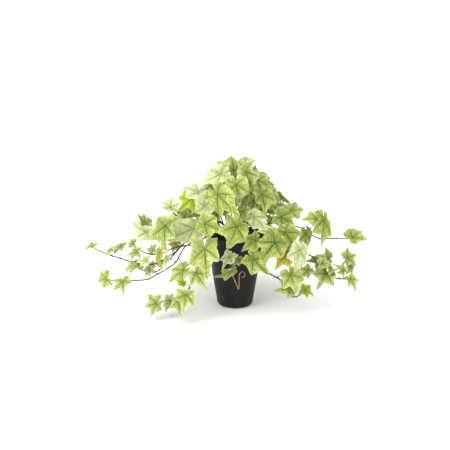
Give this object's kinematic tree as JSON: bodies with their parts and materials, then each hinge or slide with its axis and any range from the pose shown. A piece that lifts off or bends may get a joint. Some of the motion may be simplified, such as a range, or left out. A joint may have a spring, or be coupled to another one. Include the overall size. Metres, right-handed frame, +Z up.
{
  "type": "potted ivy",
  "caption": "Variegated trailing ivy with lobed leaves on thin woody vines, rooted in a soil-filled black tapered nursery pot that stands on a flat foot.",
  "frame": {"origin": "centre of the pot's flat foot, on the surface it stands on", "axes": "+Z up along the pot's axis, +X to the right and -Y to the front of the plant"},
  "size_m": [0.584, 0.3745, 0.3102],
  "materials": {
    "pot_plastic": "matte black moulded plastic with a faint sheen",
    "soil": "dark, loose, fibrous potting soil",
    "ivy": "satin leaves, light green with cream margins and deeper green veins, on thin brown woody stems",
    "dry_rootlet": "dry, pale brown, fibrous"
  },
  "bodies": {
    "root": {"dry_rootlet": "dry_rootlet", "pot": "pot_plastic", "soil": "soil", "vine_back_crown_left": "ivy", "vine_back_crown_right": "ivy", "vine_back_shoulder_a": "ivy", "vine_back_shoulder_b": "ivy", "vine_back_shoulder_c": "ivy", "vine_back_shoulder_d": "ivy", "vine_back_shoulder_e": "ivy", "vine_back_shoulder_f": "ivy", "vine_back_trail_a": "ivy", "vine_back_trail_b": "ivy", "vine_back_trail_c": "ivy", "vine_back_trail_d": "ivy", "vine_back_trail_e": "ivy", "vine_centre": "ivy", "vine_crown": "ivy", "vine_crown_left": "ivy", "vine_crown_right": "ivy", "vine_front_centre": "ivy", "vine_front_left": "ivy", "vine_front_small": "ivy", "vine_left_face": "ivy", "vine_left_fine": "ivy", "vine_left_low": "ivy", "vine_left_mid": "ivy", "vine_left_tip": "ivy", "vine_left_upper": "ivy", "vine_right_face": "ivy", "vine_right_front": "ivy", "vine_right_low": "ivy", "vine_right_mid": "ivy", "vine_right_upper": "ivy", "vine_right_wide": "ivy", "vine_shoulder_left": "ivy"}
  },
  "joints": []
}
